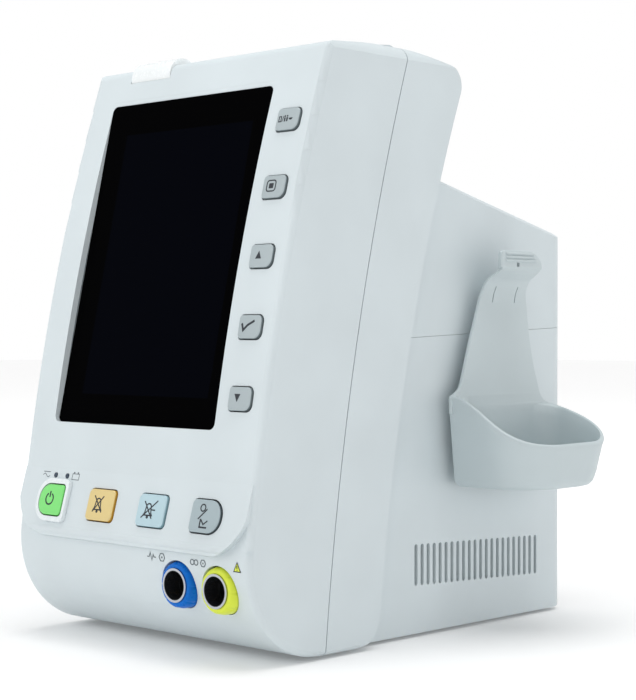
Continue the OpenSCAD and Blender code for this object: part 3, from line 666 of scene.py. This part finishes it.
def draw_pulse(shape, place):
    """Heart beat trace beside a ring with a dot: the first sensor's mark."""
    trace = [(-6.0, -0.3), (-4.7, -0.3), (-4.1, 1.5), (-3.1, -1.6), (-2.3, 0.7), (-1.8, -0.3),
             (-0.6, -0.3)]
    shape.print_line(trace, 0.3, place)
    shape.print_line(circle(3.2, 0, 1.75, 6), 0.28, place, closed=True)
    shape.print_fill(circle(3.2, 0, 0.4, 10), place)


def draw_breath(shape, place):
    """Two joined bubbles beside a ring with a dot: the gas sensor's mark."""
    shape.print_line(circle(-3.8, 0, 1.1, 14), 0.3, place, closed=True)
    shape.print_line(circle(-1.5, 0, 1.1, 14), 0.3, place, closed=True, thick=0.06)
    shape.print_line(circle(2.6, 0, 1.5, 6), 0.28, place, closed=True)
    shape.print_fill(circle(2.6, 0, 0.35, 10), place)


def draw_caution(shape, place):
    """Triangle with an exclamation mark."""
    shape.print_line([(-1.9, -1.5), (1.9, -1.5), (0, 2.1)], 0.4, place, closed=True)
    shape.print_fill([(-0.2, -0.4), (0.2, -0.4), (0.25, 0.9), (-0.25, 0.9)], place, 0.08)
    shape.print_fill(circle(0, -0.9, 0.22, 10), place, 0.08)


def draw_caution_field(shape, place):
    shape.print_fill([(-1.7, -1.4), (1.7, -1.4), (0, 1.9)], place, 0.03)


def make_marks():
    symbol("mains_mark", "case", flat_map(on_strip(-57.4, -3.0)), draw_mains, "ink_grey")
    symbol("battery_mark", "case", flat_map(on_strip(-37.0, -3.0)), draw_battery, "ink_grey")
    symbol("pulse_mark", "case", chin_map(19.9, 41.5), draw_pulse, "ink_grey", 1.2)
    symbol("breath_mark", "case", chin_map(45.4, 41.3), draw_breath, "ink_grey", 1.2)
    symbol("caution_mark", "case", chin_map(67.8, 41.3), draw_caution)
    symbol("caution_field", "case", chin_map(67.8, 41.3), draw_caution_field, "collar_yellow")


# ---------------------------------------------------------------- sensor sockets

# Sizes of the sockets in millimetres. A profile's rows are a depth behind the collar's face and
# the radius there.
COLLAR_CONE = ((0.0, 7.1), (0.0, 7.9), (0.15, 8.3), (0.5, 8.7), (1.2, 9.15), (3.0, 9.6),
               (3.8, 9.77))
COLLAR_BARREL = ((5.5, 9.8), (13.4, 9.8), (13.4, 11.8), (16.2, 11.8), (16.2, 7.1))
COLLAR_STEPS = 144
GROOVE_STEPS = COLLAR_STEPS // 8
INSULATOR_R = 5.42
INSULATOR_DEPTHS = (9.4, 15.4)
PIN_CIRCLE = 3.2
PIN_PROFILE = ((7.8, 0.2), (8.0, 0.42), (8.3, 0.5), (17.4, 0.5))
PIN_COUNT = {"blue": 6, "yellow": 8}


def turned(profile, axis_x, steps, dent):
    """Cross-sections of a piece turned about a socket's axis; dent(step, y, r) lowers r."""
    rings = []
    for k in range(steps):
        a = 2 * math.pi * k / steps
        ring = []
        for y, r in profile:
            reach = r - dent(k, y, r)
            ring.append(Vector((axis_x + reach * math.cos(a) * MM,
                                COLLAR_FACE + y * MM,
                                SOCKET_Z + reach * math.sin(a) * MM)))
        rings.append(ring)
    return rings


def ring_about(x, y, radius, steps, z=SOCKET_Z):
    """Circle square to a socket's axis, at a depth and radius in millimetres."""
    return [Vector((x + radius * MM * math.cos(a),
                    COLLAR_FACE + y * MM,
                    z + radius * MM * math.sin(a)))
            for a in (2 * math.pi * k / steps for k in range(steps))]


def collar_dent(k, y, r):
    """Shallow grip grooves across a collar's cone and the front of its barrel, every 45 degrees."""
    near = min(k % GROOVE_STEPS, GROOVE_STEPS - k % GROOVE_STEPS)
    if near > 1 or r < 7.8 or y > 6:
        return 0.0
    return 0.3 if near == 0 else 0.15


def make_sockets():
    for colour, axis_x in SOCKET_X.items():
        grip = Shape()
        grip.tube(turned(COLLAR_CONE + COLLAR_BARREL, axis_x, COLLAR_STEPS, collar_dent))
        add_piece(f"{colour}_collar_grip", grip, f"collar_{colour}", "case",
                  (f"{colour}_collar",), 30)
        block = Shape()
        block.loft([ring_about(axis_x, y, INSULATOR_R, 64) for y in INSULATOR_DEPTHS])
        add_piece(f"{colour}_insulator", block, "insert_black", "case", (f"{colour}_insert",))
        pins = Shape()
        count = PIN_COUNT[colour]
        for k in range(count):
            a = 2 * math.pi * k / count
            x = axis_x + PIN_CIRCLE * MM * math.cos(a)
            z = SOCKET_Z + PIN_CIRCLE * MM * math.sin(a)
            pins.loft([ring_about(x, y, r, 16, z) for y, r in PIN_PROFILE])
        add_piece(f"{colour}_pins", pins, "post_metal", "case", material="gilt")


# ---------------------------------------------------------------- accessory basket

# Sizes of the cup in millimetres, on the object's own axes: its back and depth along x, its
# middle and half width along y, and its floor along z.
CUP_BACK = 73.0
CUP_MIDDLE = 51.2
CUP_FLOOR = 65.0
CUP_DEPTH = 45.0
CUP_HALF = 36.7
CUP_CORNER = 24.0
CUP_WALL = 2.0
# Height over which the cup widens from its floor, and about how high its rim stands.
CUP_TAPER = 38.0
CUP_RISE = 34.0
# Radii of the corner between floor and side, outside and inside.
CUP_FOOT = 4.0
CUP_FOOT_INSIDE = 3.0
# Shares of the rim's height at which the cup's side has a ring.
CUP_SHARES = (0.3, 0.5, 0.7, 0.85)


def blend_step(t):
    """Smooth step from 0 to 1."""
    t = max(0.0, min(1.0, t))
    return t * t * (3 - 2 * t)


def cup_rim(x, y):
    """Height of the cup's rim: an S-curve on the near side, a steady fall on the far side."""
    t = max(0.0, min(1.0, (x - CUP_BACK) / CUP_DEPTH))
    near = 106 - 21 * blend_step(t)
    far = 101 - 16.5 * t**1.5
    return near + (far - near) * blend_step((y - CUP_MIDDLE + CUP_HALF) / (2 * CUP_HALF))


def cup_outline(inset, narrowing, back):
    """D-shaped outline around the cup, its back corners rounded further inside."""
    half = CUP_HALF - inset - 5.3 * narrowing
    depth = CUP_DEPTH - inset - 3.0 * narrowing
    r = CUP_CORNER - inset
    side = depth - r
    soft = 0.05 + 5 * min(2.0, back)
    start = back + soft
    points = arc(start, -half + soft, soft, 180, 270, 8)
    points += [(start + (side - start) * k / 6, -half) for k in range(1, 6)]
    points += arc(side, -half + r, r, -90, 0, 14)
    points += arc(side, half - r, r, 0, 90, 14)
    points += [(side + (start - side) * k / 6, half) for k in range(1, 6)]
    points += arc(start, half - soft, soft, 90, 180, 8)
    reach = half - soft
    points += [(back, reach - 2 * reach * k / 12) for k in range(1, 12)]
    return [(x + CUP_BACK, y + CUP_MIDDLE) for x, y in points]


def cup_ring(inset, height=None, share=None, drop=0.0, back=0.0):
    """One level of the cup: at a height above its floor, or at a share of the rim's height."""
    level = share * CUP_RISE if height is None else height
    narrowing = 1 - min(1.0, level / CUP_TAPER)
    ring = []
    for x, y in cup_outline(inset, narrowing, back):
        rise = share * (cup_rim(x, y) - CUP_FLOOR) - drop if height is None else height
        ring.append(Vector((x, y, CUP_FLOOR + rise)) * MM)
    return ring


def spline(keys, per_span):
    """Rows of numbers made smooth between the given rows."""
    rows = []
    for k in range(len(keys) - 1):
        p0, p1 = keys[max(0, k - 1)], keys[k]
        p2, p3 = keys[k + 1], keys[min(len(keys) - 1, k + 2)]
        for step in range(per_span):
            t = step / per_span
            rows.append([
                0.5 * (2 * b + (c - a) * t + (2 * a - 5 * b + 4 * c - d) * t * t
                       + (3 * b - a - 3 * c + d) * t**3)
                for a, b, c, d in zip(p0, p1, p2, p3)
            ])
    return rows + [list(keys[-1])]


def plate_ring(z, left, right, front, thick):
    """Level cross-section of the back plate or tab, with rounded long edges."""
    soft = min(0.7, thick / 2 - 0.05)
    outer, inner = front - soft, front - thick + soft
    near, far = left + soft, right - soft
    ring = []
    middles = ((outer, far), (inner, far), (inner, near), (outer, near))
    for k, (cx, cy) in enumerate(middles):
        start = 90 * k
        ring += [Vector((x, y, z)) * MM for x, y in arc(cx, cy, soft, start, start + 90, 3)]
    return ring


# Back plate and thumb tab in millimetres: thickness, then rows from the bottom up of height,
# near edge, far edge and front face.
PLATE_THICK = 1.9
PLATE_ROWS = (
    (98, 14.8, 87.6, 75.05), (101, 14.8, 87.4, 75.05), (102, 14.8, 84.4, 75.05),
    (104, 14.8, 81.9, 75.05), (105.6, 15.2, 80.9, 75.05), (106.8, 17.6, 80.2, 75.05),
    (109.2, 20.9, 79.3, 75.05), (114, 22.9, 77.4, 75.05), (120, 24.9, 75.4, 75.05),
    (130, 28.2, 72.8, 75.05), (138, 31.2, 71.3, 75.1), (145, 33.4, 70.0, 75.4),
    (150, 34.6, 68.4, 76.0), (153.5, 35.3, 67.1, 77.2), (157.4, 35.8, 66.7, 79.4),
    (160, 36.4, 66.4, 83.0), (162, 36.9, 66.0, 85.8), (163.6, 37.0, 65.8, 86.8),
)
TAB_THICK = 2.3
TAB_ROWS = (
    (162.6, 36.4, 65.6, 86.5), (163.4, 35.5, 66.0, 87.0), (166, 35.4, 65.2, 87.0),
    (168, 35.5, 63.4, 87.0), (169.4, 35.8, 61.2, 87.0), (170.3, 36.6, 59.0, 86.9),
    (170.7, 38.0, 57.0, 86.7),
)
# Slits in the plate under the tab and the small square hole in the tab, as opposite corners.
TAB_SLITS = [((70, y - 0.3, 147.6), (90, y + 0.3, 154.8)) for y in (43.4, 59.6)]
TAB_HOLE = [((80, 46.6, 163.6), (90, 48.4, 165.4))]
# Grip ribs on the tab: their number, lowest height, pitch and x, and rows of y and radius that
# shape the near end and the lowest rib's far end.
RIB_COUNT = 3
RIB_Z = 166.4
RIB_STEP = 1.55
RIB_X = 87.0
RIB_NEAR = ((38.2, 0.15), (38.5, 0.5), (39.2, 0.62))
RIB_FAR = ((60.2, 0.62), (60.9, 0.5), (61.2, 0.15))
# Two boxes of each hook, as x from and to and y from and to either side of the cup's middle, and
# the heights between which the hooks run.
HOOK_PARTS = ((67.9, 74.0, 14.4, 16.4), (67.9, 69.6, 11.0, 16.4))
HOOK_ENDS = (101, 125)


def add_box(shape, low, high):
    """Adds a box between its lowest and highest corner, in millimetres."""
    corners = ((low[0], low[1]), (high[0], low[1]), (high[0], high[1]), (low[0], high[1]))
    shape.loft([[Vector((x, y, z)) * MM for x, y in corners] for z in (low[2], high[2])])


def cut_away(piece, boxes):
    """Cuts boxes out of a piece, given as lowest and highest corners in millimetres."""
    shape = Shape()
    for low, high in boxes:
        add_box(shape, low, high)
    cutter = link_object("cutter", solid_mesh("cutter", shape))
    change = piece.modifiers.new("cut", "BOOLEAN")
    change.object = cutter
    change.operation = "DIFFERENCE"
    change.solver = "EXACT"
    graph = bpy.context.evaluated_depsgraph_get()
    result = bpy.data.meshes.new_from_object(piece.evaluated_get(graph))
    piece.modifiers.remove(change)
    piece.data = result
    bpy.data.objects.remove(cutter)


def foot_rings(radius, wall, angles):
    """Rings around the corner of the cup's floor, outside it (wall 0) or inside its wall."""
    rings = []
    for a in angles:
        inset = wall + radius * (1 - math.sin(math.radians(a)))
        height = wall + radius * (1 - math.cos(math.radians(a)))
        rings.append(cup_ring(inset, height=height, back=inset if wall else 0.0))
    return rings


def make_cup():
    """Cup of the basket: up its outside, over its rounded rim and down its inside."""
    rings = foot_rings(CUP_FOOT, 0, (0, 30, 60, 90))
    rings += [cup_ring(0, share=share) for share in CUP_SHARES]
    for a in (0, 45, 90, 135, 180):
        inset = CUP_WALL / 2 * (1 - math.cos(math.radians(a)))
        drop = 1 - math.sin(math.radians(a))
        rings.append(cup_ring(inset, share=1.0, drop=drop, back=inset))
    rings += [cup_ring(CUP_WALL, share=share, back=CUP_WALL) for share in reversed(CUP_SHARES)]
    rings += foot_rings(CUP_FOOT_INSIDE, CUP_WALL, (90, 60, 30, 0))
    cup = Shape()
    cup.loft(rings)
    add_piece("basket_cup", cup, "basket_grey", "basket", ("basket",), 50)


def make_plate():
    """Back plate of the basket, narrowing up to the foot of the tab."""
    plate = Shape()
    plate.loft([plate_ring(*row, PLATE_THICK) for row in spline(PLATE_ROWS, 4)])
    back = add_piece("basket_plate", plate, "basket_grey", "basket", (), 50)
    cut_away(back, TAB_SLITS)


def make_tab():
    """Thumb tab with its grip ribs, each a little shorter than the one below."""
    tab = Shape()
    tab.loft([plate_ring(*row, TAB_THICK) for row in spline(TAB_ROWS, 4)])
    for k in range(RIB_COUNT):
        ends = RIB_NEAR + tuple((y - k, r) for y, r in RIB_FAR)
        z = RIB_Z + RIB_STEP * k
        tab.loft([[Vector((RIB_X + r * math.cos(a), y, z + r * math.sin(a))) * MM
                   for a in (2 * math.pi * j / 12 for j in range(12))] for y, r in ends])
    grip = add_piece("basket_tab", tab, "basket_grey", "basket", (), 50)
    cut_away(grip, TAB_HOLE)


def make_hooks():
    """The two angled hooks that hold the basket on its rail."""
    hooks = Shape()
    for side in (-1, 1):
        for x0, x1, near, far in HOOK_PARTS:
            y0, y1 = sorted((CUP_MIDDLE + side * near, CUP_MIDDLE + side * far))
            add_box(hooks, (x0, y0, HOOK_ENDS[0]), (x1, y1, HOOK_ENDS[1]))
    add_piece("basket_hooks", hooks, "basket_grey", "basket")


# ---------------------------------------------------------------- camera, floor and light

def make_camera():
    """Camera at the catalogue view: low, to the right of the front, with a long lens."""
    turn, tilt = math.radians(43.59), math.radians(0.624)
    forward = Vector((-math.sin(turn) * math.cos(tilt),
                      math.cos(turn) * math.cos(tilt),
                      -math.sin(tilt)))
    data = bpy.data.cameras.new("view")
    data.lens = 88.56
    data.sensor_width = 36
    data.clip_start = 0.01
    data.clip_end = 60
    camera = link_object("view", data)
    camera.location = (0.5573, -0.5775, 0.1345)
    camera.rotation_mode = "QUATERNION"
    camera.rotation_quaternion = forward.to_track_quat("-Z", "Y")
    bpy.context.scene.camera = camera


def make_floor():
    """White floor that glows more the further it is from the object, so it meets the backdrop."""
    mesh = bpy.data.meshes.new("floor")
    half = 6.0
    mesh.from_pydata([(-half, -half, 0), (half, -half, 0), (half, half, 0), (-half, half, 0)], [],
                     [(0, 1, 2, 3)])
    material, tree, shader = node_material("floor_paper")
    place = object_place(tree)
    shade = ramp(tree, noise(tree, place, 6, 2), (0.9, 0.9, 0.9), (0.92, 0.92, 0.92))
    tree.links.new(shade, shader.inputs["Base Color"])
    reach = add(tree, "ShaderNodeVectorMath")
    reach.operation = "LENGTH"
    tree.links.new(place, reach.inputs[0])
    glow = map_range(tree, reach.outputs["Value"], 0.2, 1.3, 0.08, 0.42)
    tree.links.new(glow, shader.inputs["Emission Strength"])
    shader.inputs["Emission Color"].default_value = (1, 1, 1, 1)
    shader.inputs["Roughness"].default_value = 0.9
    shader.inputs["Specular IOR Level"].default_value = 0.1
    mesh.materials.append(material)
    floor = link_object("floor", mesh)


def softbox(name, location, target, size, power):
    """Rectangular lamp aimed at a target."""
    data = bpy.data.lights.new(name, "AREA")
    data.shape = "RECTANGLE"
    data.size, data.size_y = size
    data.energy = power
    lamp = link_object(name, data)
    lamp.location = location
    lamp.rotation_mode = "QUATERNION"
    aim = Vector(target) - Vector(location)
    lamp.rotation_quaternion = aim.to_track_quat("-Z", "Y")


def make_light():
    """White studio, brighter around the horizon than above it, with two softboxes."""
    world = bpy.data.worlds.new("studio")
    world.use_nodes = True
    tree = world.node_tree
    sky = tree.nodes["Background"]
    sky.inputs["Color"].default_value = (1.0, 1.0, 1.0, 1)
    parts = tree.nodes.new("ShaderNodeSeparateXYZ")
    direction = tree.nodes.new("ShaderNodeTexCoord").outputs["Generated"]
    tree.links.new(direction, parts.inputs["Vector"])
    strength = map_range(tree, parts.outputs["Z"], 0.22, 0.45, 1.0, 0.52)
    tree.links.new(strength, sky.inputs["Strength"])
    bpy.context.scene.world = world
    bpy.context.scene.view_settings.view_transform = "Standard"
    softbox("key", (-0.5, -1.3, 1.0), (0, 0, 0.12), (1.0, 0.8), 5.0)
    softbox("top", (0.1, 0.1, 1.5), (0, 0, 0.1), (1.2, 1.2), 13)


make_camera()
make_floor()
make_light()
dress_cad_nodes()
make_keys()
make_marks()
make_sockets()
make_cup()
make_plate()
make_tab()
make_hooks()
